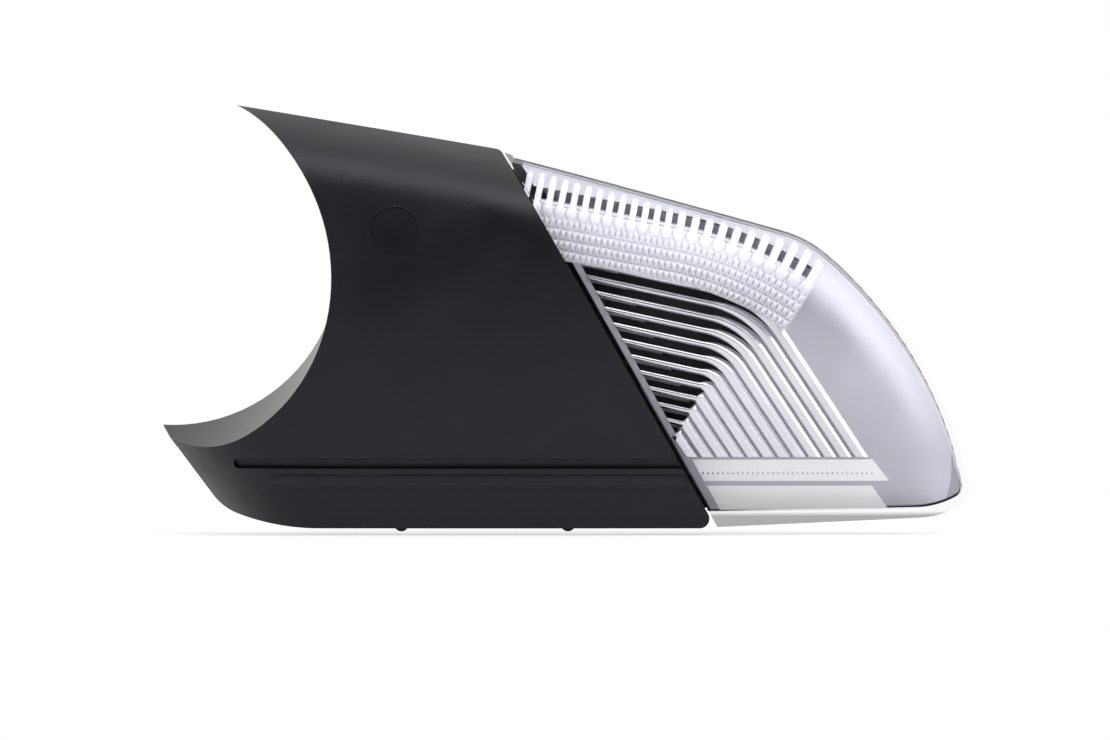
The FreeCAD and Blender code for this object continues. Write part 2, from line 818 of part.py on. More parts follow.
def reflector():
    region = chamber_face(size("seam_gap") + size("reflector_margin"))
    region = region.common(strip(size("reflector_start"), 3 * BEYOND))
    seat = cover_face_y
    bosses = joined_faces([disc(p.x, p.z, size("reflector_boss_radius")) for p in reflector_bosses])
    ahead = set_back(size("reflector_set_back"))
    behind = set_back(size("reflector_set_back") + size("reflector_thick"))
    plate = prism(region, -BEYOND, seat).common(ahead)
    plate = plate.cut(prism(region.cut(bosses), -BEYOND, seat).common(behind))
    rim_face = region.cut(inset(region, size("reflector_rim")))
    rim = prism(rim_face, seat - size("reflector_thick"), seat)
    body = plate.fuse([rim, guide_pads(behind, seat)])
    for cutter in slot_cutters(seat):
        body = body.cut(cutter)
    hole_end = -size("cover_inset") - size("screw_reach")
    holes = [prism(disc(p.x, p.z, size("screw_radius")), hole_end, BEYOND) for p in reflector_bosses]
    return body.cut(window_cutters(seat)).cut(holes).removeSplitter()


def keep(name, shape):
    piece = doc.addObject("Part::Feature", name)
    piece.Label = name
    piece.Shape = shape
    return piece


# smaller pieces, made from primitives and sketches bound to the sheet

ALONG_Y = FreeCAD.Rotation(Vector(1, 0, 0), -90)
WITH_SEAM = FreeCAD.Rotation(Vector(0, 1, 0), -lean)
TOUCH = 0.01


def bind(piece, links):
    for prop, cell in links.items():
        piece.setExpression(prop, cell)
    return piece


def rod(name, place, y, radius, length):
    # round bar along +Y from the given place
    piece = doc.addObject("Part::Cylinder", name)
    piece.Placement = FreeCAD.Placement(Vector(place.x, y, place.z), ALONG_Y)
    return bind(piece, {"Radius": radius, "Height": length})


def block(name, down, out, y, across, deep, along):
    # box lying with the joint: across it, along Y, and up along it; the place is its mid point
    piece = doc.addObject("Part::Box", name)
    bind(piece, {"Length": across, "Width": deep, "Height": along})
    doc.recompute()
    corner = WITH_SEAM.multVec(Vector(-piece.Length.Value / 2, 0, -piece.Height.Value / 2))
    place = at_seam(down, out)
    piece.Placement = FreeCAD.Placement(Vector(place.x, y, place.z) + corner, WITH_SEAM)
    return piece


def combine(kind, name, base, tool):
    piece = doc.addObject(kind, name)
    piece.Base = base
    piece.Tool = tool
    return piece


def group(name, members):
    piece = doc.addObject("Part::Compound", name)
    piece.Links = members
    piece.Label = name
    return piece


def named(piece, label):
    piece.Label = label
    return piece


def screw(name, place, head_y, forward, cells):
    # pan head with a cross recess; the shank points along -Y, or along +Y when forward is -1
    radius, head_radius, head_height, reach, cross_width, cross_depth = cells
    shank_start = head_y - size(reach) if forward > 0 else head_y
    shank = rod(name + "_shank", place, shank_start, "Sizes." + radius, "Sizes." + reach)
    head_start = head_y if forward > 0 else head_y - size(head_height)
    head = rod(name + "_head", place, head_start, "Sizes." + head_radius, "Sizes." + head_height)
    whole = combine("Part::Fuse", name + "_blank", head, shank)
    cross_start = head_start + size(head_height) - size(cross_depth) if forward > 0 else head_start
    bars = []
    for turn in (0, 90):
        bar = doc.addObject("Part::Box", "%s_bar_%d" % (name, turn))
        bind(bar, {"Length": "Sizes." + cross_width, "Width": "Sizes." + cross_depth,
                   "Height": "Sizes.screw_slot"})
        spin = FreeCAD.Rotation(Vector(0, 1, 0), turn)
        corner = spin.multVec(Vector(-size(cross_width) / 2, 0, -size("screw_slot") / 2))
        bar.Placement = FreeCAD.Placement(Vector(place.x, cross_start, place.z) + corner, spin)
        bars.append(bar)
    cross = combine("Part::Fuse", name + "_cross", bars[0], bars[1])
    return combine("Part::Cut", name, whole, cross)


def origin_plane(body, role):
    return [item for item in body.Origin.OriginFeatures if item.Role == role][0]


def rectangle_sketch(body, name, across, along, mid_across, mid_along):
    # a dimensioned rectangle on the body's XZ plane
    sketch = body.newObject("Sketcher::SketchObject", name)
    sketch.AttachmentSupport = (origin_plane(body, "XZ_Plane"), "")
    sketch.MapMode = "FlatFace"
    left = mid_across - size(across) / 2
    low = mid_along - size(along) / 2
    corners = [Vector(left, low, 0), Vector(left + size(across), low, 0),
               Vector(left + size(across), low + size(along), 0), Vector(left, low + size(along), 0)]
    for i in range(4):
        sketch.addGeometry(Part.LineSegment(corners[i], corners[(i + 1) % 4]))
    for i in range(4):
        sketch.addConstraint(Sketcher.Constraint("Coincident", i, 2, (i + 1) % 4, 1))
    for i in (0, 2):
        sketch.addConstraint(Sketcher.Constraint("Horizontal", i))
        sketch.addConstraint(Sketcher.Constraint("Vertical", i + 1))
    wide = sketch.addConstraint(Sketcher.Constraint("DistanceX", 0, 1, 0, 2, size(across)))
    tall = sketch.addConstraint(Sketcher.Constraint("DistanceY", 1, 1, 1, 2, size(along)))
    sketch.addConstraint(Sketcher.Constraint("DistanceX", -1, 1, 0, 1, left))
    sketch.addConstraint(Sketcher.Constraint("DistanceY", -1, 1, 0, 1, low))
    sketch.setExpression("Constraints[%d]" % wide, "Sizes." + across)
    sketch.setExpression("Constraints[%d]" % tall, "Sizes." + along)
    return sketch


def circuit_board():
    # plain board, then its screw and terminal holes cut through
    body = doc.addObject("PartDesign::Body", "board_body")
    sketch = rectangle_sketch(body, "board_outline", "board_width", "board_length", 0, 0)
    pad = body.newObject("PartDesign::Pad", "board_pad")
    pad.Profile = sketch
    bind(pad, {"Length": "Sizes.board_thick"})
    middle = at_seam(size("board_top") + size("board_length") / 2,
                     -size("board_inset") - size("board_width") / 2)
    back = size("board_thick") - size("board_front")
    body.Placement = FreeCAD.Placement(Vector(middle.x, back, middle.z), WITH_SEAM)
    doc.recompute()
    far = "Sizes.board_thick * 3"
    start = -size("board_front") - size("board_thick")
    loose = "Sizes.small_screw_radius + Sizes.screw_clearance"
    drills = [rod("board_drill_%d" % i, place, start, loose, far) for i, place in enumerate(board_posts)]
    for i, x in enumerate(blade_places):
        drills.append(blade("board_slot_%d" % i, x, start, far))
    cutter = doc.addObject("Part::MultiFuse", "board_drills")
    cutter.Shapes = drills
    return named(combine("Part::Cut", "circuit_board", body, cutter), "circuit_board")


def blade(name, x, y, length):
    # flat terminal blade along Y
    piece = doc.addObject("Part::Box", name)
    bind(piece, {"Length": "Sizes.blade_width", "Width": length, "Height": "Sizes.blade_thick"})
    low = socket_mid.z - size("blade_thick") / 2
    piece.Placement.Base = Vector(x - size("blade_width") / 2, y, low)
    return piece


def terminal(label, x):
    reach = "Sizes.board_front + Sizes.blade_solder + Sizes.blade_out"
    whole = blade(label + "_blank", x, -size("board_front") - size("blade_solder"), reach)
    doc.recompute()
    tip = doc.addObject("Part::Chamfer", label)
    tip.Base = whole
    cut = size("blade_chamfer")
    tip.Edges = [(i + 1, cut, cut) for i, edge in enumerate(whole.Shape.Edges)
                 if edge.BoundBox.YMin > size("blade_out") - TOUCH]
    return named(tip, label)


def led(index):
    # white package with a recessed window that looks across the joint
    label = "led_%d" % (index + 1)
    down = size("led_first") + index * size("led_pitch")
    face = -size("board_inset")
    front = -size("board_front") - size("led_height")
    body = block(label + "_body", down, face - size("led_width") / 2, front,
                 "Sizes.led_width", "Sizes.led_height", "Sizes.led_length")
    margin = (size("led_height") - size("led_window_height")) / 2
    window = block(label + "_window", down, face, front + margin,
                   "Sizes.led_window_depth * 2", "Sizes.led_window_height", "Sizes.led_window_length")
    return named(combine("Part::Cut", label, body, window), label)


def chips():
    # series resistors in a row
    front = -size("board_front") - size("chip_height")
    members = []
    for i in range(count("chip_count")):
        down = size("chip_first") + i * size("chip_pitch")
        members.append(block("chip_%d" % i, down, -size("chip_inset"), front,
                             "Sizes.chip_length", "Sizes.chip_height", "Sizes.chip_width"))
    return group("series_resistors", members)


def softened(label, body, front, cut):
    # the front edges of a piece cut at 45 degrees
    doc.recompute()
    soft = doc.addObject("Part::Chamfer", label)
    soft.Base = body
    soft.Edges = [(i + 1, cut, cut) for i, edge in enumerate(body.Shape.Edges)
                  if edge.BoundBox.YMax < front + TOUCH]
    return named(soft, label)


def diode():
    front = -size("board_front") - size("diode_height")
    body = block("diode_body", size("diode_down"), -size("diode_inset"), front,
                 "Sizes.diode_length", "Sizes.diode_height", "Sizes.diode_width")
    return softened("reverse_diode", body, front, size("diode_chamfer"))


def capacitor():
    front = -size("board_front") - size("can_height")
    place = at_seam(size("can_down"), -size("can_inset"))
    can = rod("can", place, front, "Sizes.can_radius", "Sizes.can_height")
    return softened("filter_capacitor", can, front, size("can_chamfer"))


def membrane():
    mid = flat(size("vent_x"), size("vent_z"))
    sheet_disc = rod("vent_membrane", mid, -size("cover_inset"),
                     "Sizes.vent_inner_radius", "Sizes.membrane_thick")
    return named(sheet_disc, "vent_membrane")


def vent_cap():
    # pressed into the spigot in front of the membrane, with breathing holes
    mid = flat(size("vent_x"), size("vent_z"))
    start = -size("cover_inset") + size("vent_height") - size("vent_cap_thick")
    plate = rod("vent_plate", mid, start, "Sizes.vent_inner_radius", "Sizes.vent_cap_thick")
    drills = []
    for i in range(count("vent_hole_count")):
        place = mid + heading(360.0 * (i + 0.5) / count("vent_hole_count")) * size("vent_hole_ring")
        drills.append(rod("vent_drill_%d" % i, place, start - OVERRUN,
                          "Sizes.vent_cap_hole", "Sizes.vent_cap_thick + %g" % (2 * OVERRUN)))
    cutter = doc.addObject("Part::MultiFuse", "vent_drills")
    cutter.Shapes = drills
    return named(combine("Part::Cut", "vent_cap", plate, cutter), "vent_cap")


def socket_seal():
    ring = doc.addObject("Part::Box", "socket_seal_outer")
    bind(ring, {"Length": "Sizes.socket_width + 2 * Sizes.socket_seal_width",
                "Width": "Sizes.socket_seal_thick",
                "Height": "Sizes.socket_height + 2 * Sizes.socket_seal_width"})
    wide = size("socket_seal_width")
    left = socket_mid.x - size("socket_width") / 2
    low = Vector(left, -size("cover_inset"), socket_mid.z - size("socket_height") / 2)
    ring.Placement.Base = low - Vector(wide, 0, wide)
    core = doc.addObject("Part::Box", "socket_seal_inner")
    bind(core, {"Length": "Sizes.socket_width", "Width": "Sizes.socket_seal_thick",
                "Height": "Sizes.socket_height"})
    core.Placement.Base = low
    return named(combine("Part::Cut", "socket_seal", ring, core), "socket_seal")


LARGE = ("screw_radius", "screw_head_radius", "screw_head_height", "screw_reach",
         "screw_cross_width", "screw_cross_depth")
SMALL = ("small_screw_radius", "small_head_radius", "small_head_height", "small_screw_reach",
         "small_cross_width", "small_cross_depth")


def screws(label, places, head_y, forward, cells):
    members = [screw("%s_%d" % (label, i), place, head_y, forward, cells) for i, place in enumerate(places)]
    return group(label, members)


pieces = [keep("housing", carrier()), keep("lens", lens()), keep("rear_cover", rear_cover()),
          keep("lens_seal", lens_seal()), keep("light_guide", light_guide()), keep("reflector", reflector())]
pieces.append(circuit_board())
pieces += [led(i) for i in range(count("led_count"))]
pieces += [chips(), diode(), capacitor()]
pieces += [terminal("terminal_plus", blade_places[0]), terminal("terminal_minus", blade_places[1])]
pieces += [membrane(), vent_cap(), socket_seal()]
cover_back = -size("cover_inset")
pieces.append(screws("cover_screws", cover_boss_places, cover_back, 1, LARGE))
pieces.append(screws("reflector_screws", reflector_bosses, cover_back, 1, LARGE))
pieces.append(screws("board_screws", board_posts, -size("board_front"), -1, SMALL))
doc.recompute()

for item in doc.Objects:
    if "Invalid" in item.State or "Error" in item.State:
        raise ValueError("not built: " + item.Name)
os.makedirs("parts", exist_ok=True)
for piece in pieces:
    if piece.Shape.isNull() or not piece.Shape.isValid() or len(piece.Shape.Solids) < 1:
        raise ValueError("bad shape: " + piece.Label)
    piece.Shape.exportStep("parts/%s.step" % piece.Label)
    box = piece.Shape.optimalBoundingBox()
    print("%-18s solids %d  x %.1f..%.1f  y %.1f..%.1f  z %.1f..%.1f" % (
        piece.Label, len(piece.Shape.Solids), box.XMin, box.XMax, box.YMin, box.YMax, box.ZMin, box.ZMax))
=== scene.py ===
import bpy
import math
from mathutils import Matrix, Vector


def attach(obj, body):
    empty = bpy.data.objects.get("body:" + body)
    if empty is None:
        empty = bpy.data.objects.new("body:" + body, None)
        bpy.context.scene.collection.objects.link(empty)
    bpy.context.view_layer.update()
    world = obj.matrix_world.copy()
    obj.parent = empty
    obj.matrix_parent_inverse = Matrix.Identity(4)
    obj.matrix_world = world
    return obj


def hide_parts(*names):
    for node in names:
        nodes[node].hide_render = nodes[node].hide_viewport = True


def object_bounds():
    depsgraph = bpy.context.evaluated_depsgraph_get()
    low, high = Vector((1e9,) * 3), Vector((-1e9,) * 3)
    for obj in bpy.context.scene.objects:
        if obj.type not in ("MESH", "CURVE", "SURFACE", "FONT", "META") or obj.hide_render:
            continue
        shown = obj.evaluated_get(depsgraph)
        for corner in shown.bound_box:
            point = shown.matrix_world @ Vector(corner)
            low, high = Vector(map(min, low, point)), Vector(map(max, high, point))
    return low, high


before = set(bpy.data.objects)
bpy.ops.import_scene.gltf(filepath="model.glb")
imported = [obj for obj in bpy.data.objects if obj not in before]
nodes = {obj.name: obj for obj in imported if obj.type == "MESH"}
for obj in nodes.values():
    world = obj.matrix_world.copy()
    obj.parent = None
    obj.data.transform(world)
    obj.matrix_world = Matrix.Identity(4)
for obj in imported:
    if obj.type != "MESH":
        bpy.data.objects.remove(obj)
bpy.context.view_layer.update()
print("frame loaded:", len(nodes), "nodes")

mm = 0.001


# materials

def startMaterial(name):
    mat = bpy.data.materials.new(name)
    mat.use_nodes = True
    tree = mat.node_tree
    shader = tree.nodes["Principled BSDF"]
    return mat, tree, shader


def addNode(tree, kind, **settings):
    node = tree.nodes.new(kind)
    for key, value in settings.items():
        setattr(node, key, value)
    return node


broadDetail = 4.0
fineDetail = 2.0
grainDepth = 0.0001  # metres


def noiseAt(tree, scale, detail):
    place = addNode(tree, "ShaderNodeTexCoord")
    noise = addNode(tree, "ShaderNodeTexNoise")
    noise.inputs["Scale"].default_value = scale
    noise.inputs["Detail"].default_value = detail
    tree.links.new(place.outputs["Object"], noise.inputs["Vector"])
    return noise


def spread(tree, source, low, high, fromLow=0.35, fromHigh=0.65):
    ramp = addNode(tree, "ShaderNodeMapRange")
    ramp.inputs["From Min"].default_value = fromLow
    ramp.inputs["From Max"].default_value = fromHigh
    ramp.inputs["To Min"].default_value = low
    ramp.inputs["To Max"].default_value = high
    tree.links.new(source, ramp.inputs["Value"])
    return ramp.outputs["Result"]


def tintBetween(tree, source, first, second):
    mix = addNode(tree, "ShaderNodeMix", data_type="RGBA")
    mix.inputs[6].default_value = (*first, 1)  # colour A
    mix.inputs[7].default_value = (*second, 1)  # colour B
    tree.links.new(source, mix.inputs[0])
    return mix.outputs[2]


def bumpFrom(tree, shader, height, strength):
    bump = addNode(tree, "ShaderNodeBump")
    bump.inputs["Strength"].default_value = strength
    bump.inputs["Distance"].default_value = grainDepth
    tree.links.new(height, bump.inputs["Height"])
    tree.links.new(bump.outputs["Normal"], shader.inputs["Normal"])


def patchyColour(tree, shader, look):  # returns the roughness, which follows the same patches
    broad = noiseAt(tree, look["patch"], broadDetail)
    shade = tintBetween(tree, spread(tree, broad.outputs["Fac"], 0, 1), look["dark"], look["light"])
    tree.links.new(shade, shader.inputs["Base Color"])
    return spread(tree, broad.outputs["Fac"], *look["rough"])


def mixToOutput(tree, share, first, second):
    mix = addNode(tree, "ShaderNodeMixShader")
    tree.links.new(share, mix.inputs["Fac"])
    tree.links.new(first, mix.inputs[1])
    tree.links.new(second, mix.inputs[2])
    tree.links.new(mix.outputs["Shader"], tree.nodes["Material Output"].inputs["Surface"])


def solidFinish(name, look):
    mat, tree, shader = startMaterial(name)
    tree.links.new(patchyColour(tree, shader, look), shader.inputs["Roughness"])
    shader.inputs["Metallic"].default_value = look.get("metal", 0.0)
    shader.inputs["Specular IOR Level"].default_value = look.get("shine", 0.5)
    fine = noiseAt(tree, look["grain"], fineDetail)
    bumpFrom(tree, shader, fine.outputs["Fac"], look["bump"])
    return mat


# the carrier's grain stops at the smooth wall of its cut-out, whose middle is pivotMid, in metres
carrier = {"dark": (0.0036, 0.0036, 0.0052), "light": (0.0060, 0.0060, 0.0082), "patch": 55.0,
           "rough": (0.36, 0.46), "shine": 0.3, "shineTint": (0.9, 0.9, 1.0), "grain": 2600.0, "bump": 0.3,
           "depth": 0.00012, "edgeRadius": 0.00045, "edgeSamples": 4, "pivotMid": (-0.0640, 0.0, 0.0142),
           "wallFacing": (0.6, 0.8), "wallRough": 0.3}


def cutoutWall(tree, look):  # 1 on the wall of the cut-out, 0 elsewhere
    place = addNode(tree, "ShaderNodeTexCoord")
    surface = addNode(tree, "ShaderNodeNewGeometry")
    inward = addNode(tree, "ShaderNodeVectorMath", operation="SUBTRACT")
    inward.inputs[0].default_value = look["pivotMid"]
    tree.links.new(place.outputs["Object"], inward.inputs[1])
    level = addNode(tree, "ShaderNodeVectorMath", operation="MULTIPLY")
    level.inputs[1].default_value = (1, 0, 1)  # depth left out
    tree.links.new(inward.outputs[0], level.inputs[0])
    unit = addNode(tree, "ShaderNodeVectorMath", operation="NORMALIZE")
    tree.links.new(level.outputs[0], unit.inputs[0])
    facing = addNode(tree, "ShaderNodeVectorMath", operation="DOT_PRODUCT")
    tree.links.new(unit.outputs[0], facing.inputs[0])
    tree.links.new(surface.outputs["Normal"], facing.inputs[1])
    return spread(tree, facing.outputs["Value"], 0.0, 1.0, *look["wallFacing"])


def carrierFinish(name, look):
    mat, tree, shader = startMaterial(name)
    wall = cutoutWall(tree, look)
    rough = addNode(tree, "ShaderNodeMix")
    rough.inputs[3].default_value = look["wallRough"]
    tree.links.new(wall, rough.inputs[0])
    tree.links.new(patchyColour(tree, shader, look), rough.inputs[2])
    tree.links.new(rough.outputs[0], shader.inputs["Roughness"])
    shader.inputs["Specular IOR Level"].default_value = look["shine"]
    shader.inputs["Specular Tint"].default_value = (*look["shineTint"], 1)
    fine = noiseAt(tree, look["grain"], fineDetail)
    edge = addNode(tree, "ShaderNodeBevel", samples=look["edgeSamples"])
    edge.inputs["Radius"].default_value = look["edgeRadius"]
    bump = addNode(tree, "ShaderNodeBump")
    bump.inputs["Distance"].default_value = look["depth"]
    tree.links.new(spread(tree, wall, look["bump"], 0.0, 0.0, 1.0), bump.inputs["Strength"])
    tree.links.new(fine.outputs["Fac"], bump.inputs["Height"])
    tree.links.new(edge.outputs["Normal"], bump.inputs["Normal"])
    tree.links.new(bump.outputs["Normal"], shader.inputs["Normal"])
    return mat


def clearFinish(name, look):
    mat, tree, shader = startMaterial(name)
    # the guide's tint carries painted shade, grey in the concave grooves between its facets
    if "grooveShadeTint" in look:
        surface = addNode(tree, "ShaderNodeNewGeometry")
        groove = spread(tree, surface.outputs["Pointiness"], 1.0, 0.0, *look["groove"])  # painted shade: 1 between facets, where the grooves darken the guide
        tint = tintBetween(tree, groove, look["tint"], look["grooveShadeTint"])
    else:
        # the lens's tint carries painted shade, a grey strip along its bottom edge
        place = addNode(tree, "ShaderNodeTexCoord")
        parts = addNode(tree, "ShaderNodeSeparateXYZ")
        tree.links.new(place.outputs["Object"], parts.inputs["Vector"])
        lower = spread(tree, parts.outputs["Z"], 1.0, 0.0, *look["edge"])  # painted shade: 1 at the bottom edge, where the clear lens is tinted grey
        tint = tintBetween(tree, lower, look["tint"], look["edgeShadeTint"])
    tree.links.new(tint, shader.inputs["Base Color"])
    shader.inputs["Transmission Weight"].default_value = look["clear"]
    shader.inputs["IOR"].default_value = look["bend"]
    shader.inputs["Roughness"].default_value = look["rough"]
    fine = noiseAt(tree, look["grain"], fineDetail)
    bumpFrom(tree, shader, fine.outputs["Fac"], look["bump"])
    passing = addNode(tree, "ShaderNodeBsdfTransparent")
    passing.inputs["Color"].default_value = (*look["passing"], 1)
    path = addNode(tree, "ShaderNodeLightPath")
    mixToOutput(tree, path.outputs["Is Shadow Ray"], shader.outputs["BSDF"], passing.outputs["BSDF"])
    return mat


finishes = {
    "coverBlack": {"dark": (0.012, 0.012, 0.013), "light": (0.02, 0.02, 0.022), "patch": 40.0,
                   "rough": (0.4, 0.55), "grain": 1500.0, "bump": 0.15},
    "brightCoat": {"dark": (0.69, 0.69, 0.72), "light": (0.77, 0.77, 0.80), "patch": 60.0,
                   "rough": (0.16, 0.22), "metal": 1.0, "grain": 700.0, "bump": 0.03},
    "plateCoat": {"dark": (0.48, 0.48, 0.53), "light": (0.53, 0.53, 0.58), "patch": 40.0,
                  "rough": (0.34, 0.42), "metal": 0.5, "shine": 0.3, "grain": 700.0, "bump": 0.03},
    # painted light: a near-white, mostly matte coat that stands in for the light the reflector's metal feet
    # reflect
    "footPaintedLight": {"dark": (0.90, 0.90, 0.89), "light": (0.94, 0.94, 0.93), "patch": 20.0,
                 "rough": (0.25, 0.35), "metal": 0.3, "grain": 700.0, "bump": 0.03},
    "sealRubber": {"dark": (0.012, 0.012, 0.012), "light": (0.03, 0.03, 0.03), "patch": 200.0,
                   "rough": (0.7, 0.85), "grain": 2500.0, "bump": 0.2},
    "boardGreen": {"dark": (0.012, 0.10, 0.04), "light": (0.02, 0.16, 0.07), "patch": 260.0,
                   "rough": (0.3, 0.45), "grain": 1800.0, "bump": 0.1},
    "ledWhite": {"dark": (0.75, 0.74, 0.68), "light": (0.85, 0.84, 0.78), "patch": 300.0,
                 "rough": (0.3, 0.4), "grain": 2500.0, "bump": 0.05},
    "chipBlack": {"dark": (0.015, 0.015, 0.016), "light": (0.035, 0.035, 0.036), "patch": 400.0,
                  "rough": (0.5, 0.65), "grain": 3000.0, "bump": 0.15},
    "canMetal": {"dark": (0.6, 0.6, 0.62), "light": (0.78, 0.78, 0.8), "patch": 300.0,
                 "rough": (0.25, 0.4), "metal": 1.0, "grain": 2000.0, "bump": 0.08},
    "terminalMetal": {"dark": (0.62, 0.52, 0.30), "light": (0.8, 0.72, 0.5), "patch": 250.0,
                      "rough": (0.22, 0.4), "metal": 1.0, "grain": 1800.0, "bump": 0.08},
    "screwSteel": {"dark": (0.45, 0.45, 0.47), "light": (0.62, 0.62, 0.64), "patch": 350.0,
                   "rough": (0.25, 0.42), "metal": 1.0, "grain": 1800.0, "bump": 0.1},
    "membraneWhite": {"dark": (0.72, 0.72, 0.7), "light": (0.85, 0.85, 0.84), "patch": 500.0,
                      "rough": (0.75, 0.9), "grain": 4000.0, "bump": 0.3},
}
clears = {
    # the lens takes painted shade, a grey tint below z -0.0417 m along its bottom edge
    "lensClear": {"tint": (0.955, 0.957, 0.975), "edgeShadeTint": (0.42, 0.42, 0.42), "edge": (-0.0427, -0.0417),
                  "clear": 1.0, "bend": 1.09, "rough": 0.01, "grain": 60.0, "bump": 0.02,
                  "passing": (0.94, 0.94, 0.96)},
    # the guide takes painted shade, a grey tint in its grooves where Pointiness is low
    "guideClear": {"tint": (0.96, 0.96, 0.975), "grooveShadeTint": (0.34, 0.34, 0.37), "groove": (0.44, 0.5),
                   "clear": 0.68, "bend": 1.49, "rough": 0.02, "grain": 500.0, "bump": 0.05,
                   "passing": (0.94, 0.94, 0.96)},
}
looks = {name: solidFinish(name, look) for name, look in finishes.items()}
looks.update({name: clearFinish(name, look) for name, look in clears.items()})
looks["carrierBlack"] = carrierFinish("carrierBlack", carrier)

nodeFinish = {
    "housing": "carrierBlack", "rear_cover": "coverBlack", "lens": "lensClear", "light_guide": "guideClear",
    "reflector": "plateCoat", "lens_seal": "sealRubber", "socket_seal": "sealRubber",
    "circuit_board": "boardGreen",
    "led_1": "ledWhite", "led_2": "ledWhite", "led_3": "ledWhite", "led_4": "ledWhite",
    "series_resistors": "chipBlack", "reverse_diode": "chipBlack", "filter_capacitor": "canMetal",
    "terminal_plus": "terminalMetal", "terminal_minus": "terminalMetal", "vent_membrane": "membraneWhite",
    "vent_cap": "coverBlack", "cover_screws": "screwSteel", "reflector_screws": "screwSteel",
    "board_screws": "screwSteel",
}
for nodeName, finish in nodeFinish.items():
    piece = nodes[nodeName]
    for materialSlot in piece.material_slots:
        materialSlot.material = looks[finish]
print("finishes set on", len(nodeFinish), "nodes")


# the lamp face: the crowned skin and the places measured from the slanted joint, all in mm

face = {"depth": 32.0, "crownHigh": 122.0, "crownWide": 1200.0, "midX": 20.0, "midZ": 10.0, "rollWidth": 20.0,
        "rollTop": 17.0, "rollLeft": 17.0, "rollRight": 12.0, "hornX": -45.0, "hornZ": 52.3, "topFall": 9.6,
        "leftTip": (-62.9, -21.55), "leftRise": 126.0, "jointTopX": 16.4, "jointLean": 29.6, "lensDrop": 0.6,
        "lensFall": 15.4, "lensTop": 68.0, "cornerRadius": 24.0, "cornerTurn": 24.1, "sideRadius": 101.9,
        "sideTurn": 36.6}


def toward(angle):
    return Vector((math.cos(math.radians(angle)), math.sin(math.radians(angle))))


def crossing(point, way, other, otherWay):
    gap = other - point
    return point + way * (gap.cross(otherWay) / way.cross(otherWay))


def carrierTop(x):
    return face["hornZ"] - (x - face["hornX"]) * math.tan(math.radians(face["topFall"]))


jointDown = toward(face["jointLean"] - 90)
jointOut = toward(face["jointLean"])
jointTop = Vector((face["jointTopX"], carrierTop(face["jointTopX"])))
lensTop = jointTop - Vector((0, face["lensDrop"]))
cornerStart = lensTop + toward(-face["lensFall"]) * face["lensTop"]
cornerMid = cornerStart + toward(-face["lensFall"] - 90) * face["cornerRadius"]
sideFirst = 90 - face["lensFall"] - face["cornerTurn"]
sideMid = cornerMid + toward(sideFirst) * (face["cornerRadius"] - face["sideRadius"])


def fromJoint(down, out):
    return jointTop + jointDown * down + jointOut * out


def atHeight(point, way, z):
    return crossing(point, way, Vector((0, z)), Vector((1, 0)))


def rollAt(amount, distance):
    return amount * max(1 - distance / face["rollWidth"], 0.0) ** 3


def topEdge(x):  # the lower of the two top lines, smooth where they meet
    lensZ = lensTop.y - (x - lensTop.x) * math.tan(math.radians(face["lensFall"]))
    return -math.log(math.exp(-carrierTop(x)) + math.exp(-lensZ))


def insideSide(x, z):
    away = Vector((x, z)) - sideMid
    angle = math.degrees(math.atan2(away.y, away.x))
    nearest = toward(min(max(angle, sideFirst - face["sideTurn"]), sideFirst))
    return face["sideRadius"] - away.dot(nearest)


def skinY(x, z):
    crown = (z - face["midZ"]) ** 2 / (2 * face["crownHigh"])
    crown += (x - face["midX"]) ** 2 / (2 * face["crownWide"])
    top = rollAt(face["rollTop"], topEdge(x) - z)
    right = rollAt(face["rollRight"], insideSide(x, z))
    fromTip = Vector((x, z)) - Vector(face["leftTip"])
    left = rollAt(face["rollLeft"], fromTip.cross(toward(face["leftRise"])))
    return crown + (top ** 3 + left ** 3 + right ** 3) ** (1.0 / 3) - face["depth"]


def onSkin(spot, depth):
    return spot.x, skinY(spot.x, spot.y) + depth, spot.y


def gridCells(wide, high):
    return [(i, j) for i in range(wide) for j in range(high)]


# a grid of cells made into one closed mesh, with front, back and rim
def closedSheet(name, cells, frontAt, backAt):
    places = []
    index = {}
    faces = []

    def corner(i, j, side):
        key = (i, j, side)
        if key not in index:
            index[key] = len(places)
            spot = frontAt(i, j) if side == 0 else backAt(i, j)
            places.append([value * mm for value in spot])
        return index[key]

    whole = set(cells)
    for i, j in cells:
        ring = ((i, j), (i + 1, j), (i + 1, j + 1), (i, j + 1))
        faces.append([corner(a, b, 0) for a, b in ring])
        faces.append([corner(a, b, 1) for a, b in reversed(ring)])
        beside = ((i, j - 1), (i + 1, j), (i, j + 1), (i - 1, j))
        for k in range(4):
            if beside[k] not in whole:
                a, b = ring[k], ring[(k + 1) % 4]
                faces.append([corner(*a, 0), corner(*a, 1), corner(*b, 1), corner(*b, 0)])
    mesh = bpy.data.meshes.new(name)
    mesh.from_pydata(places, [], faces)
    return mesh


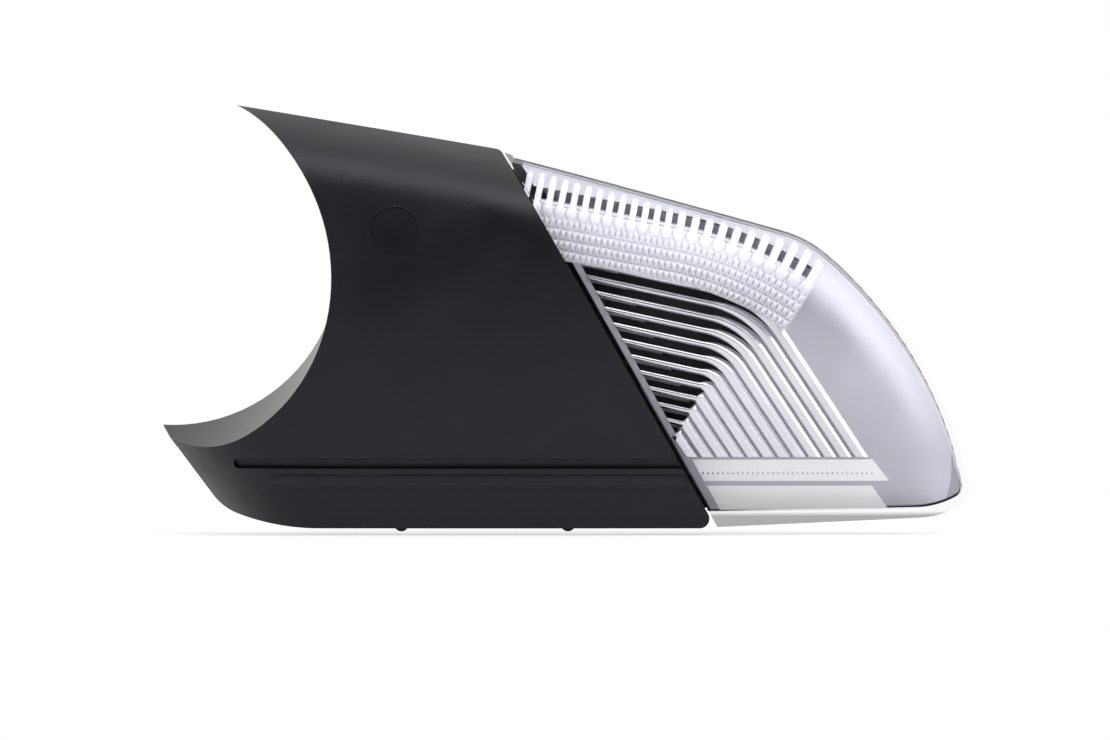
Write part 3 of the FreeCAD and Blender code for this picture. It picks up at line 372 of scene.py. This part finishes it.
def joinMeshes(name, meshes, finish, smoothTo):
    places = []
    faces = []
    for mesh in meshes:
        first = len(places)
        places += [vertex.co[:] for vertex in mesh.vertices]
        faces += [[first + v for v in polygon.vertices] for polygon in mesh.polygons]
        bpy.data.meshes.remove(mesh)
    whole = bpy.data.meshes.new(name)
    whole.from_pydata(places, [], faces)
    whole.validate()
    whole.materials.append(looks[finish])
    piece = bpy.data.objects.new(name, whole)
    bpy.context.scene.collection.objects.link(piece)
    bpy.context.view_layer.objects.active = piece
    piece.select_set(True)
    bpy.ops.object.mode_set(mode="EDIT")
    bpy.ops.mesh.select_all(action="SELECT")
    bpy.ops.mesh.normals_make_consistent(inside=False)
    bpy.ops.object.mode_set(mode="OBJECT")
    bpy.ops.object.shade_smooth_by_angle(angle=math.radians(smoothTo))
    piece.select_set(False)
    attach(piece, "root")
    return piece


# carrier: the soft roll under the crease, from near the left edge to the joint

roll = {"fromX": -43.0, "taper": 13.0, "tip": 0.05, "topZ": -32.3, "lowZ": -36.2, "jointGap": 0.8,
        "proud": 0.5, "sink": 1.4, "thin": 0.05, "long": 120, "high": 14, "smoothTo": 60}


def makeRoll():
    middle = (roll["topZ"] + roll["lowZ"]) / 2
    half = (roll["topZ"] - roll["lowZ"]) / 2

    def rightEnd(z):
        return atHeight(fromJoint(0, -roll["jointGap"]), jointDown, z)

    def across(j):
        return 2 * j / roll["high"] - 1

    def grown(i):  # the left end is round
        share = min((rightEnd(middle).x - roll["fromX"]) * i / roll["long"] / roll["taper"], 1.0)
        return max(math.sqrt(share * (2 - share)), roll["tip"])

    def place(i, j):
        z = middle + half * across(j) * grown(i)
        return Vector((roll["fromX"], z)).lerp(rightEnd(z), i / roll["long"])

    def front(i, j):
        swell = (roll["proud"] + roll["sink"]) * math.sqrt(max(1 - across(j) ** 2, 0)) * grown(i)
        return onSkin(place(i, j), roll["sink"] - swell)

    def back(i, j):
        return onSkin(place(i, j), roll["sink"] + roll["thin"])

    sheet = closedSheet("rollSheet", gridCells(roll["long"], roll["high"]), front, back)
    joinMeshes("carrierRoll", [sheet], "carrierBlack", roll["smoothTo"])


makeRoll()
print("carrier roll made")


# light guide: a band of four-sided facets, a row of drops, and round-headed teeth above them

guide = {"inset": 3.0, "drop": 27.6, "fall": 11.0, "length": 27.0, "bendRadius": 75.0, "bendTurn": 23.0,
         "band": 11.4, "setBack": 6.8, "thick": 3.2, "facetLong": 1.385, "facetHigh": 2.28,
         "facetProud": 0.75, "facetSteps": 8, "scallopHigh": 2.85, "scallopProud": 0.6, "teeth": 24,
         "toothPitch": 2.77, "toothWidth": 1.5, "toothProud": 0.55, "toothRoot": 0.5, "toothTallest": 9.5,
         "toothStep": 0.1, "toothAcross": 10, "toothAlong": 16, "toothCrowd": 1.6, "toothTip": 0.02,
         "topClear": 3.6, "smoothTo": 28}
guideEnd = guide["length"] + guide["bendRadius"] * math.radians(guide["bendTurn"])
toothStart = guideEnd - (guide["teeth"] - 0.5) * guide["toothPitch"]


def guideSpot(travel, lift):
    start = fromJoint(guide["drop"], -guide["inset"])
    fall = -guide["fall"]
    if travel <= guide["length"]:
        return start + toward(fall) * travel + toward(fall + 90) * lift
    turn = math.degrees((travel - guide["length"]) / guide["bendRadius"])
    middle = start + toward(fall) * guide["length"] + toward(fall - 90) * guide["bendRadius"]
    return middle + toward(fall + 90 - turn) * (guide["bendRadius"] + lift)


def fromMiddle(share):
    return abs(2 * (share - math.floor(share)) - 1)


def scallop(travel, lift):  # round-bottomed drops that hang under the teeth
    drop = (guide["band"] - lift) / guide["scallopHigh"]
    offset = (travel - toothStart) / guide["toothPitch"]
    offset = 2 * (offset - round(offset))
    return math.sqrt(max(1 - offset * offset - drop * drop, 0.0))


def makeGuide():
    steps = guide["facetSteps"]
    stepLong = guide["facetLong"] / steps
    stepHigh = guide["facetHigh"] / steps
    slant = math.tan(math.radians(face["jointLean"] + guide["fall"]))
    columns = range(-int(slant * guide["band"] / stepLong), int(guideEnd / stepLong))
    rows = range(int(round(guide["band"] / stepHigh)))
    cells = [(i, j) for i in columns for j in rows if (i + 0.5) * stepLong > -slant * (j + 0.5) * stepHigh]

    def place(i, j):
        return guideSpot(i * stepLong, j * stepHigh)

    def front(i, j):
        swell = guide["facetProud"] * (1 - max(fromMiddle(i / steps), fromMiddle(j / steps)))
        if j * stepHigh >= guide["band"] - guide["scallopHigh"]:
            swell = guide["scallopProud"] * scallop(i * stepLong, j * stepHigh)
        return onSkin(place(i, j), guide["setBack"] - swell)

    def back(i, j):
        return onSkin(place(i, j), guide["setBack"] + guide["thick"])

    meshes = [closedSheet("guideBand", cells, front, back)]
    for index in range(guide["teeth"]):
        meshes.append(guideTooth(toothStart + index * guide["toothPitch"]))
    piece = joinMeshes("lightGuideFacets", meshes, "guideClear", guide["smoothTo"])
    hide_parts("light_guide")


def clearOfTop(spot):
    below = (topEdge(spot.x) - spot.y) * math.cos(math.radians(face["lensFall"]))
    return min(below, insideSide(spot.x, spot.y)) > guide["topClear"]


def guideTooth(travel):
    low = guide["band"] - guide["toothRoot"]
    high = low
    while high < low + guide["toothTallest"] and clearOfTop(guideSpot(travel, high + guide["toothStep"])):
        high += guide["toothStep"]
    across, along = guide["toothAcross"], guide["toothAlong"]
    half = guide["toothWidth"] / 2
    tall = max(high - low, 2 * half)

    def place(i, j):
        height = tall * (1 - (1 - j / along) ** guide["toothCrowd"])  # rows crowd towards the round head
        past = max(height - (tall - half), 0.0) / half
        wide = half * math.sqrt(max(1 - past * past, guide["toothTip"] ** 2))
        share = 2 * i / across - 1
        return guideSpot(travel + share * wide, low + height), share, past

    def front(i, j):
        spot, share, past = place(i, j)
        dome = math.sqrt(max(1 - share * share, 0)) * math.sqrt(max(1 - past * past, 0))
        return onSkin(spot, guide["setBack"] - guide["toothProud"] * dome)

    def back(i, j):
        return onSkin(place(i, j)[0], guide["setBack"] + guide["thick"])

    return closedSheet("guideTooth", gridCells(across, along), front, back)


makeGuide()
print("light guide made")


# reflector: caps along its bent ribs, and two smooth strips and a row of beads at their feet

ribs = {"count": 12, "pitch": 3.11, "slot": 1.75, "inset": 2.6, "top": 32.6, "fall": 12.0, "length": 30.6,
        "bendRadius": 24.0, "leastRadius": 1.0, "steepRatio": 0.946, "turn": 44.0, "footZ": -28.8,
        "setBack": 10.5, "proud": 0.55, "sink": 0.05, "crease": 0.5, "bevelShare": 0.36, "bevelRise": 0.6,
        "bevelEnd": 0.95, "straightSteps": 16, "bendSteps": 12, "steepSteps": 16, "across": 20,
        "smoothTo": 50}
panel = {"edge": 3.0, "toX": 106.0, "foot": (-41.0, -35.4), "ledge": (-34.3, -29.4), "proud": 0.3,
         "corner": 4.0, "long": 60, "high": 8}
beads = {"fromX": 63.0, "toX": 103.0, "z": -32.4, "pitch": 1.15, "radius": 0.42, "capTurn": 88, "around": 10,
         "rings": 4}


def ribLine(lift):
    fall = -ribs["fall"]
    turn = ribs["turn"]
    halfTurn = math.tan(math.radians(turn / 2))
    origin = fromJoint(ribs["top"], ribs["inset"])
    reach = ribs["length"] + ribs["bendRadius"] * halfTurn
    steepSpot = origin + toward(fall) * reach + toward(fall - turn - 90) * (lift * ribs["steepRatio"])
    corner = crossing(origin + toward(fall - 90) * lift, toward(fall), steepSpot, toward(fall - turn))
    radius = max(ribs["bendRadius"] - lift, ribs["leastRadius"])
    bendStart = corner - toward(fall) * (radius * halfTurn)
    start = crossing(corner, toward(fall), origin, jointDown)
    if (bendStart - start).dot(toward(fall)) < 0:
        start = bendStart.copy()
    middle = bendStart + toward(fall - 90) * radius
    bendEnd = middle + toward(fall + 90 - turn) * radius
    foot = atHeight(corner, toward(fall - turn), ribs["footZ"])
    straight, bend, steep = ribs["straightSteps"], ribs["bendSteps"], ribs["steepSteps"]
    line = [start.lerp(bendStart, k / straight) for k in range(straight)]
    line += [middle + toward(fall + 90 - turn * k / bend) * radius for k in range(bend)]
    line += [bendEnd.lerp(foot, k / steep) for k in range(steep + 1)]
    return line


def ribCap(index):
    across = ribs["across"]
    above = ribLine((index - 1) * ribs["pitch"] + ribs["crease"])
    near = ribLine((index - 1) * ribs["pitch"] + ribs["slot"])
    far = ribLine(index * ribs["pitch"])

    def widened(i):  # 0 beside the slots, 1 past the bend, where the rib nearly fills its pitch
        return min(max((i - ribs["straightSteps"]) / ribs["bendSteps"], 0.0), 1.0)

    def place(i, k):
        return near[i].lerp(above[i], widened(i)).lerp(far[i], k / across)

    def front(i, k):
        share = k / across
        dome = ribs["proud"] * math.sqrt(max(1 - (2 * share - 1) ** 2, 0))
        slope = ribs["bevelRise"] * min(share / ribs["bevelShare"], 1.0, (1 - share) / (1 - ribs["bevelEnd"]))
        return onSkin(place(i, k), ribs["setBack"] - (dome + (slope - dome) * widened(i)))

    def back(i, k):
        return onSkin(place(i, k), ribs["setBack"] + ribs["sink"])

    return closedSheet("ribCap", gridCells(len(far) - 1, across), front, back)


def beadAt(x, z):
    around, rings = beads["around"], beads["rings"]
    level = skinY(x, z) + ribs["setBack"]

    def place(i, j):
        rise = toward(beads["capTurn"] * j / rings) * beads["radius"]
        spot = toward(360 * i / around) * rise.x
        return x + spot.x, level - rise.y, z + spot.y

    places = []
    for j in range(rings + 1):
        places += [place(i, j) for i in range(around)]
    faces = []
    for j in range(rings):
        for i in range(around):
            k = (i + 1) % around
            faces.append([j * around + i, j * around + k, (j + 1) * around + k, (j + 1) * around + i])
    faces.append(list(range(rings * around, (rings + 1) * around)))
    faces.append(list(range(around))[::-1])
    mesh = bpy.data.meshes.new("bead")
    mesh.from_pydata([[value * mm for value in spot] for spot in places], [], faces)
    return mesh


def panelSheet(low, top):  # a smooth strip below the ribs, near-white with painted light
    def place(i, j):
        z = low + (top - low) * j / panel["high"]
        left = atHeight(fromJoint(0, panel["edge"]), jointDown, z)
        right = panel["toX"] - panel["corner"] * j / panel["high"]
        return left.lerp(Vector((right, z)), i / panel["long"])

    def front(i, j):
        return onSkin(place(i, j), ribs["setBack"] - panel["proud"])

    def back(i, j):
        return onSkin(place(i, j), ribs["setBack"] + ribs["sink"])

    return closedSheet("panelSheet", gridCells(panel["long"], panel["high"]), front, back)


def makeRibs():
    caps = [ribCap(index) for index in range(ribs["count"])]
    joinMeshes("reflectorRibs", caps, "brightCoat", ribs["smoothTo"])
    number = int((beads["toX"] - beads["fromX"]) / beads["pitch"])
    row = [beadAt(beads["fromX"] + k * beads["pitch"], beads["z"]) for k in range(number + 1)]
    joinMeshes("reflectorBeads", row, "brightCoat", ribs["smoothTo"])
    # the two strips are near-white with painted light, in place of the light their metal coat would reflect
    strips = [panelSheet(*panel["foot"]), panelSheet(*panel["ledge"])]
    joinMeshes("reflectorFoot", strips, "footPaintedLight", ribs["smoothTo"])


makeRibs()
print("reflector ribs made")


# floor, light and camera, with lengths in metres unless a note says mm

studio = {"floorDrop": 0.0008, "floorSize": 3.0, "floorX": 0.03, "floorColour": (0.86, 0.86, 0.86),
          "floorRough": 0.9, "shadowShare": 0.35, "fade": (0.08, 0.3), "skyLight": 0.9, "frontLight": 0.08,
          "frontFade": (-0.75, -0.05)}


def either(tree, first, second):
    larger = addNode(tree, "ShaderNodeMath", operation="MAXIMUM")
    tree.links.new(first, larger.inputs[0])
    tree.links.new(second, larger.inputs[1])
    return larger.outputs[0]


def mirroredOrBent(tree, path):
    return either(tree, path.outputs["Is Glossy Ray"], path.outputs["Is Transmission Ray"])


def makeFloor():  # white to the camera and to mirrors, apart from a share near the lamp that keeps its shadow
    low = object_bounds()[0][2] - studio["floorDrop"]
    bpy.ops.mesh.primitive_plane_add(size=studio["floorSize"], location=(studio["floorX"], 0, low))
    floor = bpy.context.object
    floor.name = "studioFloor"
    mat, tree, shader = startMaterial("floorPale")
    shader.inputs["Base Color"].default_value = (*studio["floorColour"], 1)
    shader.inputs["Roughness"].default_value = studio["floorRough"]
    shader.inputs["Specular IOR Level"].default_value = 0.0
    white = addNode(tree, "ShaderNodeEmission")
    white.inputs["Strength"].default_value = 1.0
    place = addNode(tree, "ShaderNodeTexCoord")
    away = addNode(tree, "ShaderNodeVectorMath", operation="LENGTH")
    tree.links.new(place.outputs["Object"], away.inputs[0])
    whiter = spread(tree, away.outputs["Value"], 1 - studio["shadowShare"], 1.0, *studio["fade"])
    path = addNode(tree, "ShaderNodeLightPath")
    seen = either(tree, path.outputs["Is Camera Ray"], mirroredOrBent(tree, path))
    share = addNode(tree, "ShaderNodeMath", operation="MULTIPLY")
    tree.links.new(seen, share.inputs[0])
    tree.links.new(whiter, share.inputs[1])
    mixToOutput(tree, share.outputs[0], shader.outputs["BSDF"], white.outputs["Emission"])
    floor.data.materials.append(mat)


def makeWorld():  # white to the camera, but mirrors see the viewer's side of the room darker
    world = bpy.data.worlds.new("studioWorld")
    bpy.context.scene.world = world
    world.use_nodes = True
    tree = world.node_tree
    back = tree.nodes["Background"]
    back.inputs["Color"].default_value = (1, 1, 1, 1)
    place = addNode(tree, "ShaderNodeTexCoord")
    parts = addNode(tree, "ShaderNodeSeparateXYZ")
    tree.links.new(place.outputs["Generated"], parts.inputs["Vector"])
    mirrored = spread(tree, parts.outputs["Y"], studio["frontLight"], 1.0, *studio["frontFade"])
    path = addNode(tree, "ShaderNodeLightPath")
    plain = addNode(tree, "ShaderNodeMix")
    plain.inputs[2].default_value = studio["skyLight"]
    tree.links.new(mirroredOrBent(tree, path), plain.inputs[0])
    tree.links.new(mirrored, plain.inputs[3])
    seen = addNode(tree, "ShaderNodeMix")
    seen.inputs[3].default_value = 1.0
    tree.links.new(path.outputs["Is Camera Ray"], seen.inputs[0])
    tree.links.new(plain.outputs[0], seen.inputs[2])
    tree.links.new(seen.outputs[0], back.inputs["Strength"])


softboxes = {
    "topBox": {"at": (0.05, -0.25, 0.75), "aim": (0.03, 0, 0), "wide": 0.9, "high": 0.5, "power": 4.0},
    "leftBox": {"at": (-0.7, -0.5, 0.35), "aim": (0.0, 0, 0), "wide": 0.5, "high": 0.5, "power": 1.2},
    "rightBox": {"at": (0.78, -0.32, 0.42), "aim": (0.08, 0, 0), "wide": 0.6, "high": 0.9, "power": 3.4},
}


def aimAt(thing, target):
    way = Vector(target) - thing.location
    thing.rotation_euler = way.to_track_quat("-Z", "Y").to_euler()


def hangSoftbox(name, look):
    lamp = bpy.data.lights.new(name, "AREA")
    lamp.shape = "RECTANGLE"
    lamp.size = look["wide"]
    lamp.size_y = look["high"]
    lamp.energy = look["power"]
    holder = bpy.data.objects.new(name, lamp)
    bpy.context.scene.collection.objects.link(holder)
    holder.location = look["at"]
    aimAt(holder, look["aim"])


# middle, perPixel, lens and sensor in mm
camera = {"middle": (28.8, -16, -9.2), "elevation": 0.0, "pixelsWide": 1110, "perPixel": 0.2306,
          "lens": 200.0, "sensor": 36.0}


def placeCamera():
    data = bpy.data.cameras.new("viewCamera")
    data.lens = camera["lens"]
    data.sensor_width = camera["sensor"]
    holder = bpy.data.objects.new("viewCamera", data)
    bpy.context.scene.collection.objects.link(holder)
    distance = camera["pixelsWide"] * camera["perPixel"] * mm * camera["lens"] / camera["sensor"]
    tilt = math.radians(camera["elevation"])
    middle = Vector(camera["middle"]) * mm
    holder.location = middle + Vector((0, -math.cos(tilt), math.sin(tilt))) * distance
    aimAt(holder, middle)
    bpy.context.scene.camera = holder


makeFloor()
makeWorld()
for boxName, boxLook in softboxes.items():
    hangSoftbox(boxName, boxLook)
placeCamera()
bpy.context.scene.view_settings.view_transform = "Standard"
print("studio ready")
